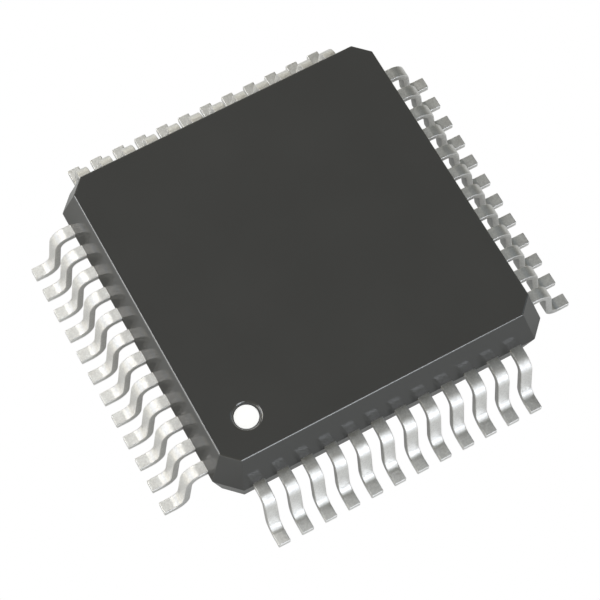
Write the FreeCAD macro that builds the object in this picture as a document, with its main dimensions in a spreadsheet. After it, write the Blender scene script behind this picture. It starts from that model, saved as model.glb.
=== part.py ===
import FreeCAD, Part
import math
import os
import Sketcher
from FreeCAD import Placement, Rotation, Vector

# Quad flat pack chip: a square black moulding with a row of gull-wing leads on each side.
# Inside are the die pad on its tie bars, the die on its adhesive, and a gold wire to each lead.
# X runs right along the front side, Y runs to the back and Z is up.
# The origin is at the centre of the plane that the lead feet stand on.
# Lengths are in millimetres and angles in degrees.

LEADS_PER_SIDE = 12

SIZE_ROWS = [
    ("body_width", 7.0, "moulding across flats, at the parting plane"),
    ("upper_height", 0.95, "moulding above the parting plane"),
    ("lower_height", 0.90, "moulding below the parting plane"),
    ("standoff", 0.25, "gap between the moulding and the board"),
    ("upper_draft", 14.0, "slope of the sides and the index corner above the parting plane"),
    ("lower_draft", 12.5, "slope of the same faces below the parting plane"),
    ("corner_draft", 18.7, "slope of the other three corner flats"),
    ("corner_cut", 0.32, "corner flats, along the sides at the parting plane"),
    ("index_cut", 0.435, "flat of the index corner, measured the same way"),
    ("edge_radius", 0.03, "rounded rim of the top face"),
    ("index_inset_side", 1.02, "index dimple centre to the left side"),
    ("index_inset_front", 0.96, "index dimple centre to the front side"),
    ("index_rim_radius", 0.28, "index dimple at the top face"),
    ("index_floor_radius", 0.245, "index dimple at its floor"),
    ("index_depth", 0.06, "depth of the index dimple"),
    ("ink_radius", 0.235, "white dot on the dimple floor"),
    ("ink_thickness", 0.01, "film of white ink"),
    ("ejector_radius", 0.60, "ejector pin mark under the moulding"),
    ("ejector_depth", 0.04, "depth of the ejector pin mark"),
    ("lead_pitch", 0.50, "lead to lead outside the moulding"),
    ("lead_width", 0.25, "width of a lead outside the moulding"),
    ("frame_thickness", 0.14, "sheet that leads and die pad are stamped from"),
    ("shoulder_length", 0.14, "straight part between the moulding and the bend"),
    ("shoulder_radius", 0.19, "inside radius of the upper bend"),
    ("heel_radius", 0.20, "inside radius of the lower bend"),
    ("leg_lean", 7.5, "outward lean of the leg from upright"),
    ("foot_length", 0.218, "flat foot between the lower bend and the toe"),
    ("tie_bar_clearance", 0.125, "straight part of the corner leads to the tie bars"),
    ("finger_reach", 2.10, "finger tips to the centre of the chip"),
    ("finger_pitch", 0.32, "finger tip to finger tip"),
    ("finger_width", 0.14, "width of a finger tip"),
    ("pad_width", 3.30, "die pad across flats"),
    ("pad_downset", 0.15, "drop of the die pad below the leads"),
    ("tie_bar_width", 0.15, "width of the four tie bars"),
    ("tie_ramp_start", 2.45, "foot of the tie bar's ramp, along the diagonal"),
    ("tie_ramp_run", 0.30, "length of the ramp in plan"),
    ("tie_bar_setback", 0.20, "end of a tie bar to the index corner's flat"),
    ("die_width", 2.30, "silicon die across flats"),
    ("die_height", 0.30, "thickness of the die"),
    ("attach_margin", 0.08, "adhesive showing round the die"),
    ("attach_thickness", 0.03, "thickness of the adhesive"),
    ("wire_width", 0.025, "bond wire across its flats"),
    ("bond_inset", 0.10, "bonds on the die to the edge of the die"),
    ("bond_pitch", 0.17, "bond to bond on the die"),
    ("loop_height", 0.20, "top of the wire loop above the die"),
    ("stitch_inset", 0.14, "start of the stitch bond to the finger tip"),
    ("stitch_length", 0.08, "length of the stitch bond"),
]

os.makedirs("parts", exist_ok=True)
document = FreeCAD.newDocument("quad_flat_pack")
sizes = document.addObject("Spreadsheet::Sheet", "sizes")
for row, (alias, value, meaning) in enumerate(SIZE_ROWS, start=1):
    sizes.set(f"A{row}", meaning)
    sizes.set(f"B{row}", str(value))
    sizes.setAlias(f"B{row}", alias)
document.recompute()

# Places that several pieces share, as expressions over the sheet
HALF_BODY = "sizes.body_width / 2"
PARTING = "(sizes.standoff + sizes.lower_height)"
TOP = f"({PARTING} + sizes.upper_height)"
HALF_FRAME = "sizes.frame_thickness / 2"
FRAME_TOP = f"({PARTING} + {HALF_FRAME})"
FRAME_UNDERSIDE = f"({PARTING} - {HALF_FRAME})"
PAD_TOP = f"({FRAME_TOP} - sizes.pad_downset)"
PAD_UNDERSIDE = f"({PAD_TOP} - sizes.frame_thickness)"
DIE_UNDERSIDE = f"({PAD_TOP} + sizes.attach_thickness)"
DIE_TOP = f"({DIE_UNDERSIDE} + sizes.die_height)"

# Fingers start to fan in where the corner leads come near the tie bars on the diagonals
OUTER_LEAD = f"({(LEADS_PER_SIDE - 1) / 2} * sizes.lead_pitch + sizes.lead_width / 2)"
FINGER_ROOT = f"({OUTER_LEAD} + sizes.tie_bar_width + sizes.tie_bar_clearance)"

# Lead frame side by side, counter-clockwise from above: name, turn about Z
SIDES = [("front", -90), ("right", 0), ("back", 90), ("left", 180)]


def evaluate(expression):
    """Return the number that an expression over the sheet gives."""
    return float(sizes.evalExpression(expression))


def new_body(label):
    """Add a PartDesign body under its own label."""
    body = document.addObject("PartDesign::Body", label)
    body.Label = label
    return body


def origin_plane(body, role):
    """Find one of the body's own origin planes."""
    return next(item for item in body.Origin.OriginFeatures if item.Role == role)


def new_sketch(body, name, role="XY_Plane", height=None):
    """Attach a sketch to an origin plane, raised to a height given as an expression."""
    sketch = body.newObject("Sketcher::SketchObject", name)
    sketch.AttachmentSupport = [(origin_plane(body, role), "")]
    sketch.MapMode = "FlatFace"
    if height:
        sketch.setExpression("AttachmentOffset.Base.z", height)
    return sketch


def bind_constraint(sketch, name, constraint, expression):
    """Add a dimension to a sketch and bind it to the sheet."""
    index = sketch.addConstraint(constraint)
    sketch.renameConstraint(index, name)
    sketch.setExpression(f"Constraints.{name}", expression)


def polygon_sketch(body, name, corners, role="XY_Plane", height=None):
    """Draw a closed polygon whose corners are pairs of expressions."""
    sketch = new_sketch(body, name, role, height)
    points = [Vector(evaluate(across), evaluate(along), 0) for across, along in corners]
    count = len(points)
    for index in range(count):
        following = points[(index + 1) % count]
        sketch.addGeometry(Part.LineSegment(points[index], following), False)
    for index in range(count):
        sketch.addConstraint(Sketcher.Constraint("Coincident", index, 2, (index + 1) % count, 1))
    for index, (across, along) in enumerate(corners):
        point = points[index]
        across_size = Sketcher.Constraint("DistanceX", -1, 1, index, 1, point.x)
        along_size = Sketcher.Constraint("DistanceY", -1, 1, index, 1, point.y)
        bind_constraint(sketch, f"across_{index}", across_size, across)
        bind_constraint(sketch, f"along_{index}", along_size, along)
    return sketch


def pad_sketch(body, sketch, name, length, midplane=False):
    """Pad a sketch by a length given as an expression."""
    pad = body.newObject("PartDesign::Pad", name)
    pad.Profile = sketch
    pad.setExpression("Length", length)
    if midplane:
        pad.SideType = "Symmetric"
    return pad


# Moulding

def octagon_corners():
    """List the corners of the moulding's outline; the index corner is front left."""
    near = f"-{HALF_BODY}"
    far = HALF_BODY
    return [
        (f"{near} + sizes.index_cut", near),
        (f"{far} - sizes.corner_cut", near),
        (far, f"{near} + sizes.corner_cut"),
        (far, f"{far} - sizes.corner_cut"),
        (f"{far} - sizes.corner_cut", far),
        (f"{near} + sizes.corner_cut", far),
        (near, f"{far} - sizes.corner_cut"),
        (near, f"{near} + sizes.index_cut"),
    ]


def side_faces(shape, direction, corner_flats):
    """Name the upright faces above (1) or below (-1) the parting plane: sides or corner flats.

    The index corner's flat has the draft of the sides, so it counts as one of them.
    """
    names = []
    for index, face in enumerate(shape.Faces, start=1):
        centre = face.CenterOfMass
        upright = abs(face.normalAt(0, 0).z) < 1e-6
        on_corner = min(abs(centre.x), abs(centre.y)) > evaluate(HALF_BODY) / 2
        on_index = on_corner and centre.x < 0 and centre.y < 0
        wanted = on_corner and not on_index
        if upright and centre.z * direction > 0 and wanted == corner_flats:
            names.append(f"Face{index}")
    return names


def edges_around_top(shape, height):
    """Name the edges that lie all round the top face."""
    names = []
    for index, edge in enumerate(shape.Edges, start=1):
        if all(abs(vertex.Z - height) < 1e-6 for vertex in edge.Vertexes):
            names.append(f"Edge{index}")
    return names


def add_drafted_half(body, outline, name, height, direction, side_draft):
    """Pad half of the moulding away from the parting plane and draft its sides."""
    half = pad_sketch(body, outline, name, height)
    half.Reversed = direction < 0
    document.recompute()
    slopes = (("corners", True, "sizes.corner_draft"), ("sides", False, side_draft))
    for part, corner_flats, angle in slopes:
        draft = body.newObject("PartDesign::Draft", f"{name}_{part}")
        draft.Base = (half, side_faces(half.Shape, direction, corner_flats))
        draft.NeutralPlane = (origin_plane(body, "XY_Plane"), [""])
        draft.Reversed = direction < 0
        draft.setExpression("Angle", angle)
        document.recompute()
        half = draft
    return half


def make_moulding_blank():
    """Make the two drafted halves, round the top rim and sink both round marks.

    The body's own XY plane is the parting plane.
    """
    body = new_body("moulding_blank")
    body.setExpression("Placement.Base.z", PARTING)
    outline = polygon_sketch(body, "parting_outline", octagon_corners())
    add_drafted_half(body, outline, "upper_half", "sizes.upper_height", 1, "sizes.upper_draft")
    halves = add_drafted_half(
        body, outline, "lower_half", "sizes.lower_height", -1, "sizes.lower_draft"
    )

    rim = body.newObject("PartDesign::Fillet", "top_rim")
    rim.Base = (halves, edges_around_top(halves.Shape, evaluate("sizes.upper_height")))
    rim.setExpression("Radius", "sizes.edge_radius")
    document.recompute()

    dimple = body.newObject("PartDesign::SubtractiveCone", "index_dimple")
    dimple.setExpression("Radius1", "sizes.index_floor_radius")
    dimple.setExpression("Radius2", "sizes.index_rim_radius")
    dimple.setExpression("Height", "sizes.index_depth")
    dimple.setExpression("Placement.Base.x", f"sizes.index_inset_side - {HALF_BODY}")
    dimple.setExpression("Placement.Base.y", f"sizes.index_inset_front - {HALF_BODY}")
    dimple.setExpression("Placement.Base.z", "sizes.upper_height - sizes.index_depth")

    ejector = body.newObject("PartDesign::SubtractiveCylinder", "ejector_mark")
    ejector.setExpression("Radius", "sizes.ejector_radius")
    ejector.setExpression("Height", "sizes.ejector_depth")
    ejector.setExpression("Placement.Base.z", "-sizes.lower_height")
    return body


def make_index_dot():
    """Make the film of white ink on the floor of the index dimple."""
    dot = document.addObject("Part::Cylinder", "index_dot")
    dot.setExpression("Radius", "sizes.ink_radius")
    dot.setExpression("Height", "sizes.ink_thickness")
    dot.setExpression("Placement.Base.x", f"sizes.index_inset_side - {HALF_BODY}")
    dot.setExpression("Placement.Base.y", f"sizes.index_inset_front - {HALF_BODY}")
    dot.setExpression("Placement.Base.z", f"{TOP} - sizes.index_depth")
    return dot


# Leads

def gull_wing_points():
    """Work out the corners and bend centres of a formed lead, as a starting sketch."""
    thickness = evaluate("sizes.frame_thickness")
    upper_radius = evaluate("sizes.shoulder_radius")
    lower_radius = evaluate("sizes.heel_radius")
    lean = math.radians(evaluate("sizes.leg_lean"))
    out_of_leg = Vector(math.cos(lean), math.sin(lean), 0)
    root = Vector(evaluate(FINGER_ROOT), evaluate(FRAME_UNDERSIDE), 0)
    bend = Vector(evaluate(f"{HALF_BODY} + sizes.shoulder_length"), root.y, 0)
    upper_centre = bend - Vector(0, upper_radius, 0)

    # The lower bend touches the leg's outer face and the foot's upper face
    centre_gap = upper_radius + thickness + lower_radius
    lower_height = thickness + lower_radius
    drop = upper_centre.y - lower_height
    lower_place = upper_centre.x + (centre_gap + drop * math.sin(lean)) / math.cos(lean)
    lower_centre = Vector(lower_place, lower_height, 0)
    toe = Vector(lower_place + evaluate("sizes.foot_length"), 0, 0)
    rise = Vector(0, thickness, 0)
    corners = [
        root,
        root + rise,
        bend + rise,
        upper_centre + out_of_leg * (upper_radius + thickness),
        lower_centre - out_of_leg * lower_radius,
        lower_centre - Vector(0, lower_radius, 0),
        toe + rise,
        toe,
        lower_centre - Vector(0, lower_radius + thickness, 0),
        lower_centre - out_of_leg * (lower_radius + thickness),
        upper_centre + out_of_leg * upper_radius,
        bend,
    ]
    return corners, upper_centre, lower_centre


def bend_arc(centre, start, end):
    """Make the arc that turns counter-clockwise from start to end."""
    circle = Part.Circle(centre, Vector(0, 0, 1), start.distanceToPoint(centre))
    return Part.ArcOfCircle(circle, circle.parameter(start), circle.parameter(end))


def gull_wing_sketch(body):
    """Draw the side view of a formed lead: shoulder, upper bend, leg, lower bend and foot."""
    sketch = new_sketch(body, "side_view", "XZ_Plane")
    corners, upper_centre, lower_centre = gull_wing_points()
    arcs = {
        2: (upper_centre, corners[3], corners[2]),
        4: (lower_centre, corners[4], corners[5]),
        8: (lower_centre, corners[9], corners[8]),
        10: (upper_centre, corners[10], corners[11]),
    }
    for index in range(12):
        if index in arcs:
            sketch.addGeometry(bend_arc(*arcs[index]), False)
        else:
            sketch.addGeometry(Part.LineSegment(corners[index], corners[(index + 1) % 12]), False)

    # Arcs 2 and 8 run against the outline, so their end points swap
    end_point = {index: 2 for index in range(12)}
    start_point = {index: 1 for index in range(12)}
    for index in (2, 8):
        end_point[index] = 1
        start_point[index] = 2
    for index in range(12):
        following = (index + 1) % 12
        kind = "Tangent" if index in arcs or following in arcs else "Coincident"
        joint = (index, end_point[index], following, start_point[following])
        sketch.addConstraint(Sketcher.Constraint(kind, *joint))
    sketch.addConstraint(Sketcher.Constraint("Coincident", 2, 3, 10, 3))
    sketch.addConstraint(Sketcher.Constraint("Coincident", 4, 3, 8, 3))
    for upright in (0, 6):
        sketch.addConstraint(Sketcher.Constraint("Vertical", upright))
    for level in (1, 5, 7, 11):
        sketch.addConstraint(Sketcher.Constraint("Horizontal", level))
    sketch.addConstraint(Sketcher.Constraint("Parallel", 3, 9))

    thickness = Sketcher.Constraint("Distance", 0, evaluate("sizes.frame_thickness"))
    shoulder_radius = Sketcher.Constraint("Radius", 10, evaluate("sizes.shoulder_radius"))
    heel_radius = Sketcher.Constraint("Radius", 4, evaluate("sizes.heel_radius"))
    root_place = Sketcher.Constraint("DistanceX", -1, 1, 0, 1, corners[0].x)
    root_height = Sketcher.Constraint("DistanceY", -1, 1, 0, 1, corners[0].y)
    bend_place = Sketcher.Constraint("DistanceX", -1, 1, 10, 3, upper_centre.x)
    foot_length = Sketcher.Constraint("Distance", 7, evaluate("sizes.foot_length"))
    bind_constraint(sketch, "thickness", thickness, "sizes.frame_thickness")
    bind_constraint(sketch, "shoulder_radius", shoulder_radius, "sizes.shoulder_radius")
    bind_constraint(sketch, "heel_radius", heel_radius, "sizes.heel_radius")
    bind_constraint(sketch, "root_place", root_place, FINGER_ROOT)
    bind_constraint(sketch, "root_height", root_height, FRAME_UNDERSIDE)
    bind_constraint(sketch, "bend_place", bend_place, f"{HALF_BODY} + sizes.shoulder_length")
    bind_constraint(sketch, "foot_length", foot_length, "sizes.foot_length")
    sketch.addConstraint(Sketcher.Constraint("PointOnObject", 7, 1, -1))
    leg_angle = Sketcher.Constraint("Angle", 9, math.radians(90 + evaluate("sizes.leg_lean")))
    bind_constraint(sketch, "leg_angle", leg_angle, "(90 + sizes.leg_lean) * 1 deg")
    return sketch


def make_lead(label, turn, position):
    """Make one lead: the formed strip outside and the flat finger that fans in to the die pad."""
    body = new_body(label)
    pad_sketch(body, gull_wing_sketch(body), "formed_strip", "sizes.lead_width", midplane=True)
    fan_in = f"{position} * (sizes.finger_pitch - sizes.lead_pitch)"
    finger_corners = [
        (FINGER_ROOT, "-sizes.lead_width / 2"),
        (FINGER_ROOT, "sizes.lead_width / 2"),
        ("sizes.finger_reach", f"{fan_in} + sizes.finger_width / 2"),
        ("sizes.finger_reach", f"{fan_in} - sizes.finger_width / 2"),
    ]
    finger = polygon_sketch(body, "finger_plan", finger_corners, height=FRAME_UNDERSIDE)
    pad_sketch(body, finger, "finger", "sizes.frame_thickness")
    body.Placement = Placement(Vector(0, 0, 0), Rotation(Vector(0, 0, 1), turn))
    body.setExpression("Placement.Base.x", f"-{position} * sizes.lead_pitch * sin({turn} deg)")
    body.setExpression("Placement.Base.y", f"{position} * sizes.lead_pitch * cos({turn} deg)")
    return body


def make_leads():
    """Make every lead, numbered counter-clockwise from the index corner."""
    leads = {}
    for side, (side_name, turn) in enumerate(SIDES):
        for place in range(LEADS_PER_SIDE):
            label = f"lead_{side * LEADS_PER_SIDE + place + 1:02d}"
            leads[label] = make_lead(label, turn, place - (LEADS_PER_SIDE - 1) / 2)
    return leads


# Die pad, adhesive and die

def make_die_pad():
    """Make the square pad and its four ramped tie bars, in a frame turned by 45 degrees."""
    body = new_body("die_pad")
    half_diagonal = "sizes.pad_width / sqrt(2)"
    plate_corners = [
        (f"-{half_diagonal}", "0"),
        ("0", f"-{half_diagonal}"),
        (half_diagonal, "0"),
        ("0", half_diagonal),
    ]
    plate = polygon_sketch(body, "plate_plan", plate_corners, height=PAD_UNDERSIDE)
    pad_sketch(body, plate, "plate", "sizes.frame_thickness")
    ramp_end = "sizes.tie_ramp_start + sizes.tie_ramp_run"
    bar_end = "(sizes.body_width - sizes.index_cut) / sqrt(2) - sizes.tie_bar_setback"
    bar_start = f"{half_diagonal} - sizes.tie_bar_width"
    bar_corners = [
        (bar_start, PAD_UNDERSIDE),
        ("sizes.tie_ramp_start", PAD_UNDERSIDE),
        (ramp_end, FRAME_UNDERSIDE),
        (bar_end, FRAME_UNDERSIDE),
        (bar_end, FRAME_TOP),
        (ramp_end, FRAME_TOP),
        ("sizes.tie_ramp_start", PAD_TOP),
        (bar_start, PAD_TOP),
    ]
    bar = polygon_sketch(body, "tie_bar_side", bar_corners, role="XZ_Plane")
    tie_bar = pad_sketch(body, bar, "tie_bar", "sizes.tie_bar_width", midplane=True)
    document.recompute()
    pattern = body.newObject("PartDesign::PolarPattern", "tie_bars")
    pattern.Originals = [tie_bar]
    pattern.Axis = (origin_plane(body, "Z_Axis"), [""])
    pattern.Angle = 360
    pattern.Occurrences = 4
    body.Tip = pattern
    body.Placement = Placement(Vector(0, 0, 0), Rotation(Vector(0, 0, 1), 45))
    return body


def make_centred_block(label, width, height, underside):
    """Make a flat square block centred on the Z axis."""
    block = document.addObject("Part::Box", label)
    block.setExpression("Length", width)
    block.setExpression("Width", width)
    block.setExpression("Height", height)
    block.setExpression("Placement.Base.x", f"-{width} / 2")
    block.setExpression("Placement.Base.y", f"-{width} / 2")
    block.setExpression("Placement.Base.z", underside)
    return block


# Bond wires

def square_section(centre, width, out, across):
    """Draw a square round a centre, spanned by two directions at right angles."""
    half = width / 2
    corners = [
        centre + out * half + across * half,
        centre - out * half + across * half,
        centre - out * half - across * half,
        centre + out * half - across * half,
    ]
    return Part.makePolygon(corners + corners[:1])


def make_bond_wire(position, turn):
    """Make one wire: it rises from the die, slopes down and lies flat on the finger's tip."""
    width = evaluate("sizes.wire_width")
    up = Vector(0, 0, 1)
    die_side = evaluate("sizes.die_width / 2 - sizes.bond_inset")
    bond = Vector(die_side, position * evaluate("sizes.bond_pitch"), evaluate(DIE_TOP))
    finger_reach = evaluate("sizes.finger_reach")
    finger_root = evaluate(FINGER_ROOT)
    tip = Vector(finger_reach, position * evaluate("sizes.finger_pitch"), 0)
    root = Vector(finger_root, position * evaluate("sizes.lead_pitch"), 0)
    along_finger = (root - tip).normalize()
    touch = tip + along_finger * evaluate("sizes.stitch_inset")
    touch.z = evaluate(FRAME_TOP) + width / 2
    heading = Vector(touch.x - bond.x, touch.y - bond.y, 0).normalize()
    route = [
        bond,
        bond + up * evaluate("sizes.loop_height"),
        touch,
        touch + heading * evaluate("sizes.stitch_length"),
    ]
    section = square_section(bond, width, up.cross(heading), heading)
    wire = Part.Wire(Part.makePolygon(route)).makePipeShell([section], True, False, 1)
    wire.rotate(Vector(0, 0, 0), up, turn)
    return wire.Solids[0]


def make_bond_wires(side_name, turn):
    """Make the wires of one side as one object; each wire has its own angle and length."""
    wires = document.addObject("Part::Feature", f"bond_wires_{side_name}")
    middle = (LEADS_PER_SIDE - 1) / 2
    wires.Shape = Part.makeCompound([make_bond_wire(place - middle, turn) for place in range(LEADS_PER_SIDE)])
    return wires


def make_moulding(blank, inserts):
    """Cut the cavity that the lead frame, die and wires fill out of the blank."""
    document.recompute()
    filling = document.addObject("Part::MultiFuse", "inserts")
    filling.Shapes = inserts
    filling.Refine = False
    moulding = document.addObject("Part::Cut", "moulded_body")
    moulding.Base = blank
    moulding.Tool = filling
    moulding.Refine = True
    return moulding


def check_document():
    """Stop on any object that failed to build."""
    for item in document.Objects:
        if "Invalid" in item.State or "Error" in item.State:
            raise RuntimeError(f"{item.Label} did not build: {item.State}")


def check_shape(label, shape):
    """Stop on a sub-part with no valid solid."""
    if shape.isNull() or not shape.isValid() or not shape.Solids:
        raise RuntimeError(f"{label} has no valid solid")


blank = make_moulding_blank()
nodes = make_leads()
nodes["die_pad"] = make_die_pad()
nodes["die_attach"] = make_centred_block(
    "die_attach", "(sizes.die_width + 2 * sizes.attach_margin)", "sizes.attach_thickness", PAD_TOP
)
nodes["die"] = make_centred_block("die", "sizes.die_width", "sizes.die_height", DIE_UNDERSIDE)
for side_name, turn in SIDES:
    nodes[f"bond_wires_{side_name}"] = make_bond_wires(side_name, turn)
nodes["moulded_body"] = make_moulding(blank, list(nodes.values()))
nodes["index_dot"] = make_index_dot()
for label, item in nodes.items():
    item.Label = label

document.recompute()
check_document()
for label, item in nodes.items():
    check_shape(label, item.Shape)
for label, item in nodes.items():
    item.Shape.exportStep(os.path.join("parts", f"{label}.step"))
print(f"{len(nodes)} sub-parts written")
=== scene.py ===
import math

import bmesh
import bpy
from bpy.props import FloatProperty, FloatVectorProperty, IntProperty, PointerProperty
from mathutils import Matrix, Vector


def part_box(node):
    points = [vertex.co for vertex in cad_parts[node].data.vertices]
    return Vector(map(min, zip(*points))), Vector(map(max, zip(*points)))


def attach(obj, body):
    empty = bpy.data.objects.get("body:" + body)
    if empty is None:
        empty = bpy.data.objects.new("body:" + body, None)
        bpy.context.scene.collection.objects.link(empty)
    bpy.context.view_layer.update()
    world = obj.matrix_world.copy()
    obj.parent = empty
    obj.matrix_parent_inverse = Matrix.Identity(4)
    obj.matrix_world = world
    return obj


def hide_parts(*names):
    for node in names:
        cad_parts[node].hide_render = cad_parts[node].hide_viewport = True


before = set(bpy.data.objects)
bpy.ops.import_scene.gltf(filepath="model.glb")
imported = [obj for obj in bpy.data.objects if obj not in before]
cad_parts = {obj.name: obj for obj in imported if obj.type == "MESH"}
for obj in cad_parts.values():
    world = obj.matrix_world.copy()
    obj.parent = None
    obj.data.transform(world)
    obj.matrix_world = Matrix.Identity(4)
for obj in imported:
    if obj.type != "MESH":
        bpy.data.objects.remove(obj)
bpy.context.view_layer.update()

bl_info = {
    "name": "Quad flat pack chip",
    "version": (1, 0, 0),
    "blender": (4, 5, 0),
    "location": "3D View > Sidebar > Chip",
    "description": "Dresses the packed CAD model of a quad flat pack chip",
    "category": "Object",
}

# Quad flat pack chip: black epoxy moulding, white index dot, 48 tin plated gull-wing leads.
# X runs right along the front side, Y runs to the back, Z is up, lengths are in metres.
# Pieces with edges a few hundredths of a millimetre wide are shaped in millimetres and then
# scaled, because Blender's bevel gives up on edges that short in metres.

MM = 0.001
BODY_LOW, BODY_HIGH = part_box("moulded_body")
LEAD_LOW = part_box("lead_01")[0]
NEXT_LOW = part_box("lead_02")[0]
DOT_LOW, DOT_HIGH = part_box("index_dot")
LEADS = [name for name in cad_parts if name.startswith("lead_")]
WIRES = [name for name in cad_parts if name.startswith("bond_wires_")]

# Sizes of the real part that no box of a node gives
PARTING_HEIGHT = 1.15 * MM
FRAME_THICKNESS = 0.14 * MM
SHOULDER_RADIUS = 0.19 * MM
HEEL_RADIUS = 0.20 * MM
SHOULDER_LENGTH = 0.14 * MM
LEG_LEAN = math.radians(7.5)
FINGER_ROOT = 3.15 * MM
FINGER_TIP = 2.10 * MM
FINGER_PITCH = 0.32 * MM
FINGER_WIDTH = 0.14 * MM
CORNER_CUT_PARTING = 0.32 * MM
INDEX_CUT_PARTING = 0.435 * MM
# Upward part of the normals between a side of the moulding or dimple and its top face
EDGE_FACING = (0.30, 0.99)

# Widths of the moulding's other bevels, as shares of the top rim's
PARTING_BEVEL = 0.12
UNDERSIDE_BEVEL = 0.8
CORNER_BEVEL = 0.6

# Run of the dimple's sloping wall in millimetres, and steps in the rounding of its lip
DIMPLE_WALL_RUN = 0.035
DIMPLE_LIP_STEPS = 6
# Millimetres outwards and upwards: eased edge of the dimple's floor, end of the tool that cuts
# the dimple, past its lip, and side of the tool that cuts the ejector mark
DIMPLE_FLOOR_EDGE = ((-0.008, 0.0), (-0.002, 0.002), (0.003, 0.008))
DIMPLE_OVERCUT = (0.03, 0.001)
EJECTOR_MARK = ((0.01, -0.01), (0.0, 0.035), (-0.005, 0.04))
# Rounded edge of the ink: millimetres outwards, and share of the film's thickness
INK_EDGE = ((-0.002, 0.0), (0.0, 0.3), (-0.003, 0.8), (-0.010, 1.0))

# Faces round each bend of a lead
BEND_SEGMENTS = 16
# Edges that turn by more than this are stamped ones, and are rounded
STAMPED_EDGE = math.radians(60)
# Above 50, large faces count for more in the shading of the rounded edges beside them
FLAT_FACE_WEIGHT = 80

# Index and roughness of the compound. Epoxy has an index near 1.5. The faces have less, which
# matches their weak sheen in the photograph. The edges of the top face and the dimple have more,
# a painted highlight: it draws them as the fine bright lines that they are there.
COMPOUND_FACE = (1.27, 0.045)
COMPOUND_EDGE = (2.2, 0.15)
# Blender's noise seldom leaves this span
NOISE_SPAN = {"From Min": 0.3, "From Max": 0.7}

# Painted shadow: the floor glows less under the chip, up to the first half width, and fully past
# the second
GLOW_CHANGE = (3.8 * MM, 4.8 * MM)
FLOOR_RADIUS = 400 * MM
SWEEP_RADIUS = 420 * MM
# The floor lies a little below the feet, so that no two faces share a plane
FLOOR_HEIGHT = -0.002 * MM

# Soft boxes, all 100 mm from the chip: name, azimuth and elevation in degrees (0 is in front,
# 90 at the right), width in millimetres, power in watts and colour
SOFT_BOX_DISTANCE = 100 * MM
SOFT_BOXES = (
    ("back_high", 205, 65, 40, 0.0135, "#F4FAFF"),
    ("back_left", 225, 50, 60, 0.0178, "#FFF5E4"),
    ("left", 245, 35, 60, 0.0114, "#CFE2FF"),
    ("left_low", 262, 12, 60, 0.0158, "#FFFAED"),
    ("front", 0, 40, 60, 0.019, "#F6FBFF"),
    ("front_low", 10, 10, 50, 0.0238, "#EEF4FF"),
    ("back_low", 180, 12, 60, 0.0100, "#FFFEF4"),
    ("right", 90, 45, 60, 0.0043, "#C6E1FF"),
)

# Camera of the photograph: 127.6 mm lens on a 36 mm sensor, about 41 mm away
CAMERA_AZIMUTH = math.radians(-28.342)
CAMERA_ELEVATION = math.radians(66.933)
CAMERA_ROLL = math.radians(-0.458)
CAMERA_DISTANCE = 41.301 * MM
CAMERA_TARGET = Vector((-0.2096, -0.4233, 0.5490)) * MM
CAMERA_LENS = 127.64


def linear(hex_colour):
    """Turn an sRGB hex colour into the linear RGBA that Blender works in."""
    channels = [int(hex_colour[place:place + 2], 16) / 255 for place in (1, 3, 5)]
    steps = [c / 12.92 if c <= 0.04045 else ((c + 0.055) / 1.055) ** 2.4 for c in channels]
    return (*steps, 1.0)


def per_metre(size_mm):
    """Scale of a texture whose features are this many millimetres apart."""
    return 1 / (size_mm * MM)


def direction(azimuth, elevation):
    """Unit vector from the chip: azimuth 0 is the front and a quarter turn is the right."""
    return Vector((math.sin(azimuth) * math.cos(elevation),
                   -math.cos(azimuth) * math.cos(elevation), math.sin(elevation)))


def add(tree, kind, values=None, links=None, **settings):
    """Add a node with its settings, its socket values and the sockets that feed it."""
    node = tree.nodes.new(kind)
    for name, value in settings.items():
        setattr(node, name, value)
    for name, value in (values or {}).items():
        node.inputs[name].default_value = value
    for name, source in (links or {}).items():
        tree.links.new(source, node.inputs[name])
    return node


def new_material(name):
    """Start a material with an empty node tree."""
    material = bpy.data.materials.new(name)
    material.use_nodes = True
    material.node_tree.nodes.clear()
    return material, material.node_tree


# Sizes and colours that a user may change

class CHIP_PG_moulding(bpy.types.PropertyGroup):
    upper_draft: FloatProperty(
        name="Upper draft", description="Slope of the sides above the parting plane",
        default=math.radians(14.0), subtype="ANGLE")
    lower_draft: FloatProperty(
        name="Lower draft", description="Slope of the sides below the parting plane",
        default=math.radians(12.5), subtype="ANGLE")
    corner_draft: FloatProperty(
        name="Corner draft", description="Slope of the three corner flats away from the index",
        default=math.radians(18.7), subtype="ANGLE")
    rim_radius: FloatProperty(
        name="Rim radius", description="Rounding of the edge of the top face",
        default=0.03 * MM, precision=6, subtype="DISTANCE", unit="LENGTH")
    dimple_radius: FloatProperty(
        name="Dimple radius", description="Index dimple at the top face",
        default=0.28 * MM, precision=6, subtype="DISTANCE", unit="LENGTH")
    lip_radius: FloatProperty(
        name="Dimple lip radius", description="Rounding of the edge of the index dimple",
        default=0.05 * MM, precision=6, subtype="DISTANCE", unit="LENGTH")
    ejector_radius: FloatProperty(
        name="Ejector mark radius", description="Round mark of the ejector pin under the chip",
        default=0.60 * MM, precision=6, subtype="DISTANCE", unit="LENGTH")
    colour: FloatVectorProperty(
        name="Compound", description="Colour of the epoxy moulding compound",
        default=linear("#565655"), size=4, min=0, max=1, subtype="COLOR")


class CHIP_PG_leads(bpy.types.PropertyGroup):
    per_side: IntProperty(
        name="Leads per side", description="Number of leads on each of the four sides",
        default=len(LEADS) // 4, min=1)
    width: FloatProperty(
        name="Lead width", description="Width of a lead outside the moulding",
        default=0.25 * MM, precision=6, subtype="DISTANCE", unit="LENGTH")
    edge_radius: FloatProperty(
        name="Edge rounding", description="Rounding that stamping and plating leave on the edges",
        default=0.018 * MM, precision=6, subtype="DISTANCE", unit="LENGTH")
    tin: FloatVectorProperty(
        name="Tin", description="Colour of the tin plating",
        default=linear("#FFFEFC"), size=4, min=0, max=1, subtype="COLOR")


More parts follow.
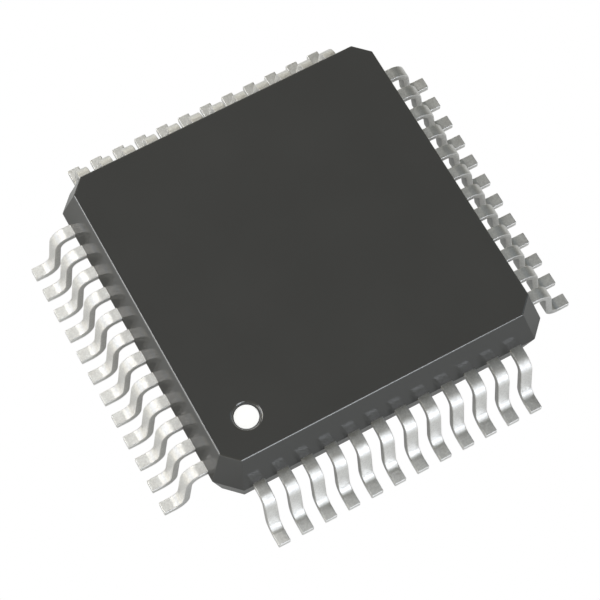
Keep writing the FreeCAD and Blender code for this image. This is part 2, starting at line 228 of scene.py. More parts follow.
class CHIP_PG_stage(bpy.types.PropertyGroup):
    # Painted shadow: the floor's weaker glow under the chip stands for the chip's shadow
    painted_shadow_glow: FloatProperty(
        name="Near glow", description="Light that the floor gives off under the chip",
        default=0.20, min=0)
    far_glow: FloatProperty(
        name="Far glow", description="Light that the floor gives off round the chip",
        default=0.48, min=0)
    tent: FloatProperty(
        name="Light tent", description="Strength of the even light from all round",
        default=0.07, min=0)
    boxes: FloatProperty(
        name="Soft boxes", description="Share of their power that the soft boxes give",
        default=1.0, min=0, subtype="FACTOR")
    floor: FloatVectorProperty(
        name="Floor", description="Colour of the floor",
        default=linear("#7C7C7B"), size=4, min=0, max=1, subtype="COLOR")


# Materials

def moulding_compound(name, colour, ior, roughness):
    """Epoxy moulding compound, moulded in a polished steel cavity: black and smooth, with a
    weak sheen that grows towards grazing angles, so the sides mirror the leads."""
    material, tree = new_material(name)
    place = add(tree, "ShaderNodeTexCoord")
    # Filler grains are about 0.015 mm across; drawn at 0.05 mm so that they show at all
    grain = add(tree, "ShaderNodeTexNoise", {"Scale": per_metre(0.05), "Detail": 3.0},
                {"Vector": place.outputs["Object"]})
    flow = add(tree, "ShaderNodeTexNoise", {"Scale": per_metre(1.6), "Detail": 2.0},
               {"Vector": place.outputs["Object"]})
    shade = add(tree, "ShaderNodeMapRange", {**NOISE_SPAN, "To Min": 0.97, "To Max": 1.03},
                {"Value": flow.outputs["Fac"]})
    base = add(tree, "ShaderNodeMix", {"Factor": 1.0, "A": colour},
               {"B": shade.outputs["Result"]}, data_type="RGBA", blend_type="MULTIPLY")
    rough = add(tree, "ShaderNodeMapRange",
                {**NOISE_SPAN, "To Min": 0.7 * roughness, "To Max": 1.3 * roughness},
                {"Value": grain.outputs["Fac"]})
    relief = add(tree, "ShaderNodeBump", {"Strength": 0.10, "Distance": 0.002 * MM},
                 {"Height": grain.outputs["Fac"]})
    shader = add(tree, "ShaderNodeBsdfPrincipled", {"IOR": ior},
                 {"Base Color": base.outputs["Result"], "Roughness": rough.outputs["Result"],
                  "Normal": relief.outputs["Normal"]})
    add(tree, "ShaderNodeOutputMaterial", links={"Surface": shader.outputs["BSDF"]})
    return material


def matte_tin(colour):
    """Electroplated matte tin over a copper alloy: a satin white metal whose fine crystals
    give a speckled sheen, a little warmer than chrome."""
    material, tree = new_material("matte_tin_plating")
    place = add(tree, "ShaderNodeTexCoord")
    # Tin crystals are 3 to 5 thousandths of a millimetre; drawn at 0.035 mm so that they show
    crystals = add(tree, "ShaderNodeTexVoronoi", {"Scale": per_metre(0.035)},
                   {"Vector": place.outputs["Object"]}, feature="SMOOTH_F1")
    cloud = add(tree, "ShaderNodeTexNoise", {"Scale": per_metre(0.12), "Detail": 4.0},
                {"Vector": place.outputs["Object"]})
    tone = add(tree, "ShaderNodeMapRange", {"From Min": 0.0, "From Max": 0.6, "To Min": 1.05,
                                            "To Max": 0.90},
               {"Value": crystals.outputs["Distance"]})
    base = add(tree, "ShaderNodeMix", {"Factor": 1.0, "A": colour},
               {"B": tone.outputs["Result"]}, data_type="RGBA", blend_type="MULTIPLY")
    rough = add(tree, "ShaderNodeMapRange", {**NOISE_SPAN, "To Min": 0.44, "To Max": 0.56},
                {"Value": cloud.outputs["Fac"]})
    relief = add(tree, "ShaderNodeBump", {"Strength": 0.25, "Distance": 0.002 * MM},
                 {"Height": crystals.outputs["Distance"]})
    shader = add(tree, "ShaderNodeBsdfPrincipled", {"Metallic": 1.0},
                 {"Base Color": base.outputs["Result"], "Roughness": rough.outputs["Result"],
                  "Normal": relief.outputs["Normal"]})
    add(tree, "ShaderNodeOutputMaterial", links={"Surface": shader.outputs["BSDF"]})
    return material


def white_ink():
    """Pad-printed white epoxy ink: opaque, flat, with a faint orange-peel surface."""
    material, tree = new_material("white_marking_ink")
    place = add(tree, "ShaderNodeTexCoord")
    peel = add(tree, "ShaderNodeTexNoise", {"Scale": per_metre(0.04), "Detail": 2.0},
               {"Vector": place.outputs["Object"]})
    tone = add(tree, "ShaderNodeMapRange", {"To Min": 0.96, "To Max": 1.0},
               {"Value": peel.outputs["Fac"]})
    base = add(tree, "ShaderNodeMix", {"Factor": 1.0, "A": linear("#FCFCFA")},
               {"B": tone.outputs["Result"]}, data_type="RGBA", blend_type="MULTIPLY")
    relief = add(tree, "ShaderNodeBump", {"Strength": 0.15, "Distance": 0.001 * MM},
                 {"Height": peel.outputs["Fac"]})
    # The ink glows a little, because the light alone leaves it greyer than in the photograph
    shader = add(tree, "ShaderNodeBsdfPrincipled",
                 {"Roughness": 0.45, "IOR": 1.5, "Emission Color": linear("#FFFFFF"),
                  "Emission Strength": 0.5},
                 {"Base Color": base.outputs["Result"], "Normal": relief.outputs["Normal"]})
    add(tree, "ShaderNodeOutputMaterial", links={"Surface": shader.outputs["BSDF"]})
    return material


def rolled_copper_alloy():
    """Rolled and stamped copper alloy of the lead frame: warm red-brown metal with fine
    rolling lines along one direction."""
    material, tree = new_material("rolled_copper_alloy")
    place = add(tree, "ShaderNodeTexCoord")
    # Rolling lines 0.02 mm apart and about 1 mm long
    stretch = add(tree, "ShaderNodeMapping", {"Scale": (1.0, 50.0, 1.0)},
                  {"Vector": place.outputs["Object"]})
    lines = add(tree, "ShaderNodeTexNoise", {"Scale": per_metre(1.0), "Detail": 3.0},
                {"Vector": stretch.outputs["Vector"]})
    tone = add(tree, "ShaderNodeMapRange", {**NOISE_SPAN, "To Min": 0.86, "To Max": 1.0},
               {"Value": lines.outputs["Fac"]})
    base = add(tree, "ShaderNodeMix", {"Factor": 1.0, "A": linear("#C98A6B")},
               {"B": tone.outputs["Result"]}, data_type="RGBA", blend_type="MULTIPLY")
    relief = add(tree, "ShaderNodeBump", {"Strength": 0.2, "Distance": 0.001 * MM},
                 {"Height": lines.outputs["Fac"]})
    shader = add(tree, "ShaderNodeBsdfPrincipled", {"Metallic": 1.0, "Roughness": 0.35},
                 {"Base Color": base.outputs["Result"], "Normal": relief.outputs["Normal"]})
    add(tree, "ShaderNodeOutputMaterial", links={"Surface": shader.outputs["BSDF"]})
    return material


def silver_filled_adhesive():
    """Die attach paste, epoxy filled with silver flakes: dull grey with tiny bright flakes."""
    material, tree = new_material("silver_filled_epoxy")
    place = add(tree, "ShaderNodeTexCoord")
    # Flakes are about 0.01 mm; drawn at 0.03 mm
    flakes = add(tree, "ShaderNodeTexVoronoi", {"Scale": per_metre(0.03)},
                 {"Vector": place.outputs["Object"]})
    glint = add(tree, "ShaderNodeMapRange", {"From Min": 0.0, "From Max": 0.7, "To Min": 0.9,
                                             "To Max": 0.3}, {"Value": flakes.outputs["Distance"]})
    base = add(tree, "ShaderNodeMix", {"Factor": 1.0, "A": linear("#B9B7B2")},
               {"B": glint.outputs["Result"]}, data_type="RGBA", blend_type="MULTIPLY")
    shader = add(tree, "ShaderNodeBsdfPrincipled", {"Roughness": 0.55, "Metallic": 0.6},
                 {"Base Color": base.outputs["Result"]})
    add(tree, "ShaderNodeOutputMaterial", links={"Surface": shader.outputs["BSDF"]})
    return material


def silicon():
    """Diced silicon wafer: dark blue-grey and mirror-like, with a faint grid of circuit blocks
    that shows as slightly different greys."""
    material, tree = new_material("diced_silicon")
    place = add(tree, "ShaderNodeTexCoord")
    # Circuit blocks of about 0.2 by 0.1 mm
    blocks = add(tree, "ShaderNodeTexBrick",
                 {"Scale": per_metre(0.4), "Color1": linear("#4A4F5C"), "Color2": linear("#5C5668"),
                  "Mortar": linear("#33363F"), "Mortar Size": 0.01},
                 {"Vector": place.outputs["Object"]})
    shader = add(tree, "ShaderNodeBsdfPrincipled", {"Metallic": 0.7, "Roughness": 0.12},
                 {"Base Color": blocks.outputs["Color"]})
    add(tree, "ShaderNodeOutputMaterial", links={"Surface": shader.outputs["BSDF"]})
    return material


def drawn_gold():
    """Drawn gold bonding wire: smooth bright yellow metal with faint draw marks."""
    material, tree = new_material("drawn_gold_wire")
    place = add(tree, "ShaderNodeTexCoord")
    marks = add(tree, "ShaderNodeTexNoise", {"Scale": per_metre(0.02), "Detail": 2.0},
                {"Vector": place.outputs["Object"]})
    tone = add(tree, "ShaderNodeMapRange", {"To Min": 0.9, "To Max": 1.0},
               {"Value": marks.outputs["Fac"]})
    base = add(tree, "ShaderNodeMix", {"Factor": 1.0, "A": linear("#F2C14E")},
               {"B": tone.outputs["Result"]}, data_type="RGBA", blend_type="MULTIPLY")
    shader = add(tree, "ShaderNodeBsdfPrincipled", {"Metallic": 1.0, "Roughness": 0.18},
                 {"Base Color": base.outputs["Result"]})
    add(tree, "ShaderNodeOutputMaterial", links={"Surface": shader.outputs["BSDF"]})
    return material


def glowing_floor(colour, painted_shadow_glow, far_glow):
    """Opal acrylic table lit from below, with a painted shadow where the chip stands on it, where
    it
    glows less: leads and walls mirror it as an even pale grey."""
    material, tree = new_material("backlit_opal_acrylic_painted_shadow")
    place = add(tree, "ShaderNodeTexCoord")
    absolute = add(tree, "ShaderNodeVectorMath", links={0: place.outputs["Object"]},
                   operation="ABSOLUTE")
    sides = add(tree, "ShaderNodeSeparateXYZ", links={"Vector": absolute.outputs["Vector"]})
    furthest = add(tree, "ShaderNodeMath", links={0: sides.outputs["X"], 1: sides.outputs["Y"]},
                   operation="MAXIMUM")
    # Painted shadow: the glow drops under the chip, in place of the chip's shadow
    glow = add(tree, "ShaderNodeMapRange",
               {"From Min": GLOW_CHANGE[0], "From Max": GLOW_CHANGE[1], "To Min": painted_shadow_glow,
                "To Max": far_glow}, {"Value": furthest.outputs["Value"]},
               interpolation_type="SMOOTHSTEP")
    cloud = add(tree, "ShaderNodeTexNoise", {"Scale": per_metre(20.0)},
                {"Vector": place.outputs["Object"]})
    tone = add(tree, "ShaderNodeMapRange", {"To Min": 0.97, "To Max": 1.03},
               {"Value": cloud.outputs["Fac"]})
    base = add(tree, "ShaderNodeMix", {"Factor": 1.0, "A": colour},
               {"B": tone.outputs["Result"]}, data_type="RGBA", blend_type="MULTIPLY")
    shader = add(tree, "ShaderNodeBsdfPrincipled",
                 {"Roughness": 0.9, "Specular IOR Level": 0.0, "Emission Color": linear("#FDFFFD")},
                 {"Base Color": base.outputs["Result"],
                  "Emission Strength": glow.outputs["Result"]})
    add(tree, "ShaderNodeOutputMaterial", links={"Surface": shader.outputs["BSDF"]})
    return material


def white_backdrop():
    """Paper sweep lit to plain white, as behind a product photograph."""
    material, tree = new_material("white_paper_sweep")
    shader = add(tree, "ShaderNodeEmission", {"Strength": 1.0})
    add(tree, "ShaderNodeOutputMaterial", links={"Surface": shader.outputs["Emission"]})
    return material


# Shapes

def octagon(half_width, cut, index_cut, height):
    """Corners of the moulding's outline in millimetres; the index corner is front left."""
    near, far = -half_width, half_width
    outline = [
        (near + index_cut, near), (far - cut, near), (far, near + cut), (far, far - cut),
        (far - cut, far), (near + cut, far), (near, far - cut), (near, near + index_cut),
    ]
    return [Vector((x, y, height)) for x, y in outline]


def cut_away_from_parting(cut, height, side_draft, flat_draft):
    """Corner cut at a height from the parting plane, where the sides and the flat lean in."""
    return cut + height * (math.sqrt(2) * math.tan(flat_draft) - 2 * math.tan(side_draft))


def object_from(name, mesh):
    """Put a mesh into the scene as an object."""
    piece = bpy.data.objects.new(name, mesh)
    bpy.context.scene.collection.objects.link(piece)
    return piece


def lathe(name, profile, segments=64):
    """Turn a profile of (radius, height) pairs round the Z axis; the ends are closed."""
    shape = bmesh.new()
    rings = []
    for radius, height in profile:
        turns = [2 * math.pi * step / segments for step in range(segments)]
        rings.append([shape.verts.new((radius * math.cos(turn), radius * math.sin(turn), height))
                      for turn in turns])
    for lower, upper in zip(rings, rings[1:]):
        for step in range(segments):
            following = (step + 1) % segments
            shape.faces.new((lower[step], lower[following], upper[following], upper[step]))
    shape.faces.new(rings[0])
    shape.faces.new(rings[-1])
    bmesh.ops.recalc_face_normals(shape, faces=shape.faces)
    mesh = bpy.data.meshes.new(name)
    shape.to_mesh(mesh)
    shape.free()
    return object_from(name, mesh)


def finish_piece(worker, name, node_names, material=None):
    """Apply a worker's modifiers, scale the result to metres and hand it over as a piece."""
    graph = bpy.context.evaluated_depsgraph_get()
    graph.update()
    mesh = bpy.data.meshes.new_from_object(worker.evaluated_get(graph), depsgraph=graph)
    mesh.name = name
    bpy.data.objects.remove(worker)
    if not mesh.polygons:
        raise RuntimeError(f"{name} came out empty")
    mesh.transform(Matrix.Scale(MM, 4))
    if material:
        mesh.materials.clear()
        mesh.materials.append(material)
    piece = object_from(name, mesh)
    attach(piece, "root")
    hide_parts(*node_names)
    return piece


class CHIP_OT_moulding(bpy.types.Operator):
    """Shape the drafted moulding with its rounded edges, index dimple and ejector mark"""
    bl_idname = "chip.moulding"
    bl_label = "Moulding"

    def execute(self, context):
        sizes = context.scene.chip_moulding
        half_width = BODY_HIGH.x / MM
        bottom, parting, top = BODY_LOW.z / MM, PARTING_HEIGHT / MM, BODY_HIGH.z / MM
        cut, index_cut = CORNER_CUT_PARTING / MM, INDEX_CUT_PARTING / MM
        outlines = [octagon(half_width, cut, index_cut, parting)]
        for place, face, draft in ((0, bottom, sizes.lower_draft), (2, top, sizes.upper_draft)):
            height = abs(face - parting)
            outlines.insert(place, octagon(
                half_width - height * math.tan(draft),
                cut_away_from_parting(cut, height, draft, sizes.corner_draft),
                cut_away_from_parting(index_cut, height, draft, draft), face))
        shape = bmesh.new()
        rings = [[shape.verts.new(corner) for corner in outline] for outline in outlines]
        for lower, upper in zip(rings, rings[1:]):
            for corner in range(8):
                following = (corner + 1) % 8
                shape.faces.new((lower[corner], lower[following], upper[following], upper[corner]))
        shape.faces.new(rings[2])
        shape.faces.new(rings[0][::-1])
        # A bevel's width for a wanted radius depends on how far the edge turns
        weight = shape.edges.layers.float.new("bevel_weight_edge")
        widest = sizes.rim_radius / MM * math.tan((math.pi / 2 - sizes.upper_draft) / 2)
        for edge in shape.edges:
            heights = {round(vertex.co.z, 4) for vertex in edge.verts}
            if heights == {round(top, 4)}:
                edge[weight] = 1.0
            elif heights == {round(parting, 4)}:
                edge[weight] = PARTING_BEVEL
            elif heights == {round(bottom, 4)}:
                edge[weight] = UNDERSIDE_BEVEL
            else:
                edge[weight] = CORNER_BEVEL
        mesh = bpy.data.meshes.new("moulding_worker")
        shape.to_mesh(mesh)
        shape.free()
        mesh.shade_smooth()
        worker = object_from("moulding_worker", mesh)
        bevel = worker.modifiers.new("edges", "BEVEL")
        bevel.limit_method = "WEIGHT"
        bevel.width = widest
        bevel.segments = 4

        # Index dimple: a flat floor, a sloping wall and a round lip
        rim = sizes.dimple_radius / MM
        depth = (BODY_HIGH.z - DOT_LOW.z) / MM
        floor_radius = rim - DIMPLE_WALL_RUN
        slope = math.atan2(depth, rim - floor_radius)
        lip_radius = sizes.lip_radius / MM
        lip_end = rim + lip_radius * math.tan(slope / 2)
        profile = [(floor_radius + out, top - depth + up) for out, up in DIMPLE_FLOOR_EDGE]
        for step in range(DIMPLE_LIP_STEPS + 1):
            turn = slope * (1 - step / DIMPLE_LIP_STEPS)
            profile.append((lip_end - lip_radius * math.sin(turn),
                            top - lip_radius * (1 - math.cos(turn))))
        profile.append((lip_end + DIMPLE_OVERCUT[0], top + DIMPLE_OVERCUT[1]))
        dimple = lathe("dimple_cutter", profile)
        dimple.location = ((DOT_LOW.x + DOT_HIGH.x) / 2 / MM, (DOT_LOW.y + DOT_HIGH.y) / 2 / MM, 0)
        ejector_radius = sizes.ejector_radius / MM
        ejector = lathe("ejector_cutter", [
            (ejector_radius + out, bottom + up) for out, up in EJECTOR_MARK])
        for cutter in (dimple, ejector):
            cut = worker.modifiers.new(cutter.name, "BOOLEAN")
            cut.operation = "DIFFERENCE"
            cut.solver = "EXACT"
            cut.object = cutter
        shading = worker.modifiers.new("shading", "WEIGHTED_NORMAL")
        shading.weight = FLAT_FACE_WEIGHT
        colour = tuple(sizes.colour)
        compound = moulding_compound("black_epoxy_moulding_compound", colour, *COMPOUND_FACE)
        piece = finish_piece(worker, "epoxy_moulding", ["moulded_body"], compound)
        # Painted highlight: the rim faces get a copy of the compound with a higher index, so they
        # shine as bright lines
        edge_highlight = moulding_compound("compound_edge_painted_highlight", colour, *COMPOUND_EDGE)
        piece.data.materials.append(edge_highlight)
        lowest = BODY_HIGH.z - sizes.rim_radius
        for face in piece.data.polygons:
            if face.center.z > lowest and EDGE_FACING[0] < face.normal.z < EDGE_FACING[1]:
                face.material_index = 1
        bpy.data.objects.remove(dimple)
        bpy.data.objects.remove(ejector)
        return {"FINISHED"}


class CHIP_OT_index_dot(bpy.types.Operator):
    """Print the white index dot on the floor of the dimple"""
    bl_idname = "chip.index_dot"
    bl_label = "Index dot"

    def execute(self, context):
        radius = (DOT_HIGH.x - DOT_LOW.x) / 2 / MM
        thickness = (DOT_HIGH.z - DOT_LOW.z) / MM
        worker = lathe("dot_worker", [
            (radius + out, share * thickness) for out, share in INK_EDGE])
        worker.data.shade_smooth()
        centre = (DOT_LOW + DOT_HIGH) / 2 / MM
        worker.data.transform(Matrix.Translation((centre.x, centre.y, DOT_LOW.z / MM)))
        worker.modifiers.new("shading", "WEIGHTED_NORMAL")
        finish_piece(worker, "printed_index_dot", ["index_dot"], white_ink())
        return {"FINISHED"}


def lead_rows_tree(material):
    """Build the node tree that forms one lead, repeats it along a side and turns the row round.

    Lengths are in millimetres. A lead runs outwards along X from the finger's tip, over the
    shoulder and down the leg to the toe. Past the finger's root it fans in to the die pad.
    """
    tree = bpy.data.node_groups.new("gull_wing_lead_rows", "GeometryNodeTree")
    face = tree.interface
    face.new_socket("Geometry", in_out="OUTPUT", socket_type="NodeSocketGeometry")
    for name in ("Lead width", "Lead thickness", "Lead pitch", "Finger tip", "Finger root",
                 "Finger pitch", "Finger width", "Shoulder corner", "Foot corner", "Toe",
                 "Frame height", "Foot height", "Shoulder radius", "Heel radius"):
        face.new_socket(name, in_out="INPUT", socket_type="NodeSocketFloat")
    face.new_socket("Leads per side", in_out="INPUT", socket_type="NodeSocketInt")
    face.new_socket("Bend segments", in_out="INPUT", socket_type="NodeSocketInt")
    given = add(tree, "NodeGroupInput").outputs

    # Centre line: finger tip, finger root, shoulder corner, foot corner, toe
    corners = []
    for across, height in (("Finger tip", "Frame height"), ("Finger root", "Frame height"),
                           ("Shoulder corner", "Frame height"), ("Foot corner", "Foot height"),
                           ("Toe", "Foot height")):
        corners.append(add(tree, "ShaderNodeCombineXYZ", links={"X": given[across],
                                                                "Z": given[height]}))
    index = add(tree, "GeometryNodeInputIndex")
    corner = add(tree, "GeometryNodeIndexSwitch", data_type="VECTOR")
    while len(corner.index_switch_items) < len(corners):
        corner.index_switch_items.new()
    tree.links.new(index.outputs["Index"], corner.inputs["Index"])
    for place, source in enumerate(corners):
        tree.links.new(source.outputs["Vector"], corner.inputs[str(place)])
    points = add(tree, "GeometryNodePoints", {"Count": len(corners)},
                 {"Position": corner.outputs["Output"]})
    line = add(tree, "GeometryNodePointsToCurves", links={"Points": points.outputs["Points"]})

    # Only the shoulder's and the foot's corner are bent
    radius = add(tree, "GeometryNodeIndexSwitch", data_type="FLOAT")
    while len(radius.index_switch_items) < len(corners):
        radius.index_switch_items.new()
    tree.links.new(index.outputs["Index"], radius.inputs["Index"])
    tree.links.new(given["Shoulder radius"], radius.inputs["2"])
    tree.links.new(given["Heel radius"], radius.inputs["3"])
    is_bend = add(tree, "FunctionNodeCompare", {"B": 1}, {"A": index.outputs["Index"]},
                  data_type="INT", operation="GREATER_THAN")
    segments = add(tree, "ShaderNodeMath", links={0: given["Bend segments"],
                                                  1: is_bend.outputs["Result"]},
                   operation="MULTIPLY")
    bent = add(tree, "GeometryNodeFilletCurve",
               links={"Curve": line.outputs["Curves"], "Radius": radius.outputs["Output"],
                      "Count": segments.outputs["Value"]}, mode="POLY")
    upright = add(tree, "GeometryNodeSetCurveNormal", links={"Curve": bent.outputs["Curve"]},
                  mode="Z_UP")
    section = add(tree, "GeometryNodeCurvePrimitiveQuadrilateral",
                  links={"Width": given["Lead width"], "Height": given["Lead thickness"]})
    strip = add(tree, "GeometryNodeCurveToMesh", {"Fill Caps": True},
                {"Curve": upright.outputs["Curve"], "Profile Curve": section.outputs["Curve"]})

    # One side: a row of leads along Y, each remembering its own middle line
    gaps = add(tree, "ShaderNodeMath", {1: 1.0}, {0: given["Leads per side"]}, operation="SUBTRACT")
    half_gaps = add(tree, "ShaderNodeMath", {1: -0.5}, {0: gaps.outputs["Value"]},
                    operation="MULTIPLY")
    first = add(tree, "ShaderNodeMath", links={0: half_gaps.outputs["Value"],
                                               1: given["Lead pitch"]}, operation="MULTIPLY")
    start = add(tree, "ShaderNodeCombineXYZ", links={"Y": first.outputs["Value"]})
    step = add(tree, "ShaderNodeCombineXYZ", links={"Y": given["Lead pitch"]})
    row = add(tree, "GeometryNodeMeshLine",
              links={"Count": given["Leads per side"], "Start Location": start.outputs["Vector"],
                     "Offset": step.outputs["Vector"]}, mode="OFFSET")
    row_place = add(tree, "GeometryNodeInputPosition")
    middle = add(tree, "GeometryNodeCaptureAttribute", links={"Geometry": row.outputs["Mesh"]})
    middle.capture_items.new("VECTOR", "Middle")
    tree.links.new(row_place.outputs["Position"], middle.inputs["Middle"])
    copies = add(tree, "GeometryNodeInstanceOnPoints",
                 links={"Points": middle.outputs["Geometry"], "Instance": strip.outputs["Mesh"]})
    side = add(tree, "GeometryNodeRealizeInstances",
               links={"Geometry": copies.outputs["Instances"]})

    # Fan in: past the root a finger moves towards its tip's place and gets narrower
    here = add(tree, "GeometryNodeInputPosition")
    parts = add(tree, "ShaderNodeSeparateXYZ", links={"Vector": here.outputs["Position"]})
    centre = add(tree, "ShaderNodeSeparateXYZ", links={"Vector": middle.outputs["Middle"]})
    inwards = add(tree, "ShaderNodeMapRange", {"To Min": 0.0, "To Max": 1.0},
                  {"Value": parts.outputs["X"], "From Min": given["Finger root"],
                   "From Max": given["Finger tip"]})
    closing = add(tree, "ShaderNodeMath", links={0: given["Finger pitch"], 1: given["Lead pitch"]},
                  operation="DIVIDE")
    closing_less = add(tree, "ShaderNodeMath", {1: 1.0}, {0: closing.outputs["Value"]},
                       operation="SUBTRACT")
    shift = add(tree, "ShaderNodeMath", links={0: centre.outputs["Y"],
                                               1: closing_less.outputs["Value"]},
                operation="MULTIPLY")
    narrowing = add(tree, "ShaderNodeMath", links={0: given["Finger width"],
                                                   1: given["Lead width"]}, operation="DIVIDE")
    narrowing_less = add(tree, "ShaderNodeMath", {1: 1.0}, {0: narrowing.outputs["Value"]},
                         operation="SUBTRACT")
    off_middle = add(tree, "ShaderNodeMath", links={0: parts.outputs["Y"], 1: centre.outputs["Y"]},
                     operation="SUBTRACT")
    squeeze = add(tree, "ShaderNodeMath", links={0: off_middle.outputs["Value"],
                                                 1: narrowing_less.outputs["Value"]},
                  operation="MULTIPLY")
    both = add(tree, "ShaderNodeMath", links={0: shift.outputs["Value"],
                                              1: squeeze.outputs["Value"]}, operation="ADD")
    moved = add(tree, "ShaderNodeMath", links={0: both.outputs["Value"],
                                               1: inwards.outputs["Result"]}, operation="MULTIPLY")
    offset = add(tree, "ShaderNodeCombineXYZ", links={"Y": moved.outputs["Value"]})
    fanned = add(tree, "GeometryNodeSetPosition", links={"Geometry": side.outputs["Geometry"],
                                                         "Offset": offset.outputs["Vector"]})

    # Four sides, a quarter turn apart
    quarters = add(tree, "GeometryNodePoints", {"Count": 4})
    turn = add(tree, "ShaderNodeMath", {1: math.pi / 2}, {0: index.outputs["Index"]},
               operation="MULTIPLY")
    spin = add(tree, "ShaderNodeCombineXYZ", links={"Z": turn.outputs["Value"]})
    rotation = add(tree, "FunctionNodeEulerToRotation", links={"Euler": spin.outputs["Vector"]})
    sides = add(tree, "GeometryNodeInstanceOnPoints",
                links={"Points": quarters.outputs["Points"], "Instance": fanned.outputs["Geometry"],
                       "Rotation": rotation.outputs["Rotation"]})
    smooth = add(tree, "GeometryNodeSetShadeSmooth", links={"Geometry": sides.outputs["Instances"]})
    real = add(tree, "GeometryNodeRealizeInstances", links={"Geometry": smooth.outputs["Geometry"]})
    tinned = add(tree, "GeometryNodeSetMaterial", {"Material": material},
                 {"Geometry": real.outputs["Geometry"]})
    add(tree, "NodeGroupOutput", links={"Geometry": tinned.outputs["Geometry"]})
    return tree


class CHIP_OT_leads(bpy.types.Operator):
    """Form the rows of gull-wing leads with Geometry Nodes and round their edges"""
    bl_idname = "chip.leads"
    bl_label = "Leads"

    def execute(self, context):
        sizes = context.scene.chip_leads
        tin = matte_tin(tuple(sizes.tin))
        tree = lead_rows_tree(tin)
        shoulder_radius = SHOULDER_RADIUS + FRAME_THICKNESS / 2
        tangent = shoulder_radius * math.tan((math.pi / 2 - LEG_LEAN) / 2)
        shoulder = BODY_HIGH.x + SHOULDER_LENGTH + tangent
        foot_height = FRAME_THICKNESS / 2
        foot = shoulder + (PARTING_HEIGHT - foot_height) * math.tan(LEG_LEAN)
        wanted = {
            "Lead width": sizes.width, "Lead thickness": FRAME_THICKNESS,
            "Lead pitch": NEXT_LOW.x - LEAD_LOW.x, "Finger tip": FINGER_TIP,
            "Finger root": FINGER_ROOT, "Finger pitch": FINGER_PITCH,
            "Finger width": FINGER_WIDTH, "Shoulder corner": shoulder, "Foot corner": foot,
            "Toe": -LEAD_LOW.y, "Frame height": PARTING_HEIGHT, "Foot height": foot_height,
            "Shoulder radius": shoulder_radius, "Heel radius": HEEL_RADIUS + FRAME_THICKNESS / 2,
        }
        worker = object_from("leads_worker", bpy.data.meshes.new("leads_worker"))
        rows = worker.modifiers.new("rows", "NODES")
        rows.node_group = tree
        sockets = {item.name: item.identifier for item in tree.interface.items_tree}
        for name, length in wanted.items():
            rows[sockets[name]] = length / MM
        rows[sockets["Leads per side"]] = sizes.per_side
        rows[sockets["Bend segments"]] = BEND_SEGMENTS
        bevel = worker.modifiers.new("edges", "BEVEL")
        bevel.limit_method = "ANGLE"
        bevel.angle_limit = STAMPED_EDGE
        bevel.width = sizes.edge_radius / MM
        bevel.segments = 3
        worker.modifiers.new("shading", "WEIGHTED_NORMAL").weight = FLAT_FACE_WEIGHT
        finish_piece(worker, "formed_leads", LEADS)
        return {"FINISHED"}


class CHIP_OT_inner_parts(bpy.types.Operator):
    """Give the parts that the moulding hides their own materials"""
    bl_idname = "chip.inner_parts"
    bl_label = "Inner parts"

    def execute(self, context):
        finishes = {"die_pad": rolled_copper_alloy(), "die_attach": silver_filled_adhesive(),
                    "die": silicon()}
        gold = drawn_gold()
        finishes.update({name: gold for name in WIRES})
        for name, material in finishes.items():
            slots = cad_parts[name].material_slots
            if not slots:
                raise RuntimeError(f"{name} has no material slot")
            for slot in slots:
                slot.material = material
        return {"FINISHED"}


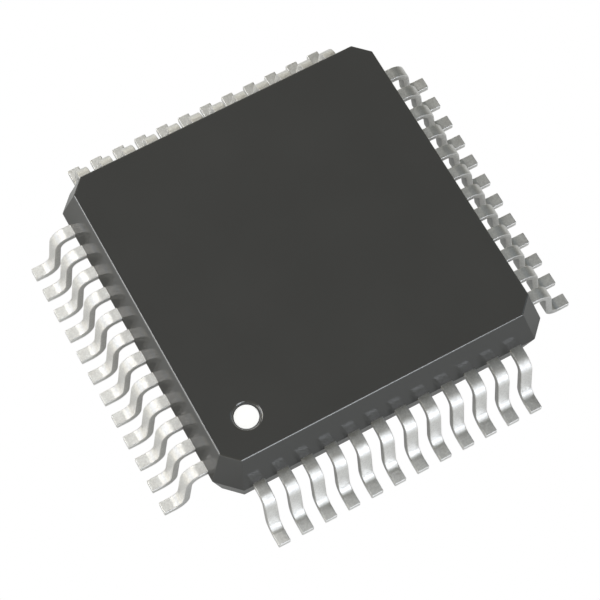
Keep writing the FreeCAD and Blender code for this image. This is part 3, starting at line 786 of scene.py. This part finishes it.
class CHIP_OT_stage(bpy.types.Operator):
    """Set up the floor, the white sweep, the soft lights and the photograph's camera"""
    bl_idname = "chip.stage"
    bl_label = "Stage"

    def execute(self, context):
        scene = context.scene
        sizes = scene.chip_stage
        scene.view_settings.view_transform = "Standard"

        # The floor lights the chip, and the camera sees the white sweep in its place
        bpy.ops.mesh.primitive_circle_add(vertices=96, radius=FLOOR_RADIUS, fill_type="NGON",
                                          location=(0, 0, FLOOR_HEIGHT))
        floor = context.object
        floor.name = "floor"
        floor.data.materials.append(
            glowing_floor(tuple(sizes.floor), sizes.painted_shadow_glow, sizes.far_glow))
        floor.visible_camera = False
        bpy.ops.mesh.primitive_uv_sphere_add(segments=64, ring_count=32, radius=SWEEP_RADIUS)
        sweep = context.object
        sweep.name = "sweep"
        sweep.data.materials.append(white_backdrop())
        for ray in ("diffuse", "glossy", "transmission", "volume_scatter", "shadow"):
            setattr(sweep, f"visible_{ray}", False)

        world = bpy.data.worlds.new("light_tent")
        world.use_nodes = True
        tent = world.node_tree.nodes["Background"]
        tent.inputs["Color"].default_value = linear("#FFEFB5")
        tent.inputs["Strength"].default_value = sizes.tent
        scene.world = world

        for name, azimuth, elevation, width, power, colour in SOFT_BOXES:
            light = bpy.data.lights.new(name, "AREA")
            light.shape = "DISK"
            light.size = width * MM
            light.energy = power * sizes.boxes
            light.color = linear(colour)[:3]
            box = bpy.data.objects.new(name, light)
            outwards = direction(math.radians(azimuth), math.radians(elevation))
            box.location = outwards * SOFT_BOX_DISTANCE
            box.rotation_euler = outwards.to_track_quat("Z", "Y").to_euler()
            box.visible_camera = False
            scene.collection.objects.link(box)

        back = direction(CAMERA_AZIMUTH, CAMERA_ELEVATION)
        right = Vector((math.cos(CAMERA_AZIMUTH), math.sin(CAMERA_AZIMUTH), 0))
        axes = Matrix((right, back.cross(right), back)).transposed()
        axes = axes @ Matrix.Rotation(CAMERA_ROLL, 3, "Z")
        camera = bpy.data.cameras.new("camera")
        camera.lens = CAMERA_LENS
        camera.sensor_width = 36
        camera.clip_start = 1 * MM
        camera.clip_end = 10
        camera_object = bpy.data.objects.new("camera", camera)
        place = Matrix.Translation(CAMERA_TARGET + back * CAMERA_DISTANCE)
        camera_object.matrix_world = place @ axes.to_4x4()
        scene.collection.objects.link(camera_object)
        scene.camera = camera_object
        return {"FINISHED"}


class CHIP_PT_parts(bpy.types.Panel):
    """Lists the pieces of the chip and their settings"""
    bl_label = "Chip"
    bl_idname = "CHIP_PT_parts"
    bl_space_type = "VIEW_3D"
    bl_region_type = "UI"
    bl_category = "Chip"

    def draw(self, context):
        scene = context.scene
        for settings, operators in (
            (scene.chip_moulding, (CHIP_OT_moulding, CHIP_OT_index_dot)),
            (scene.chip_leads, (CHIP_OT_leads, CHIP_OT_inner_parts)),
            (scene.chip_stage, (CHIP_OT_stage,)),
        ):
            box = self.layout.box()
            for name in settings.bl_rna.properties.keys():
                if name not in ("rna_type", "name"):
                    box.prop(settings, name)
            for operator in operators:
                box.operator(operator.bl_idname)


CLASSES = (
    CHIP_PG_moulding, CHIP_PG_leads, CHIP_PG_stage, CHIP_OT_moulding, CHIP_OT_index_dot,
    CHIP_OT_leads, CHIP_OT_inner_parts, CHIP_OT_stage, CHIP_PT_parts,
)


def register():
    for cls in CLASSES:
        bpy.utils.register_class(cls)
    bpy.types.Scene.chip_moulding = PointerProperty(type=CHIP_PG_moulding)
    bpy.types.Scene.chip_leads = PointerProperty(type=CHIP_PG_leads)
    bpy.types.Scene.chip_stage = PointerProperty(type=CHIP_PG_stage)


def unregister():
    del bpy.types.Scene.chip_moulding
    del bpy.types.Scene.chip_leads
    del bpy.types.Scene.chip_stage
    for cls in reversed(CLASSES):
        bpy.utils.unregister_class(cls)


def main():
    register()
    bpy.ops.chip.stage()
    bpy.ops.chip.moulding()
    bpy.ops.chip.index_dot()
    bpy.ops.chip.leads()
    bpy.ops.chip.inner_parts()


if __name__ == "__main__":
    main()
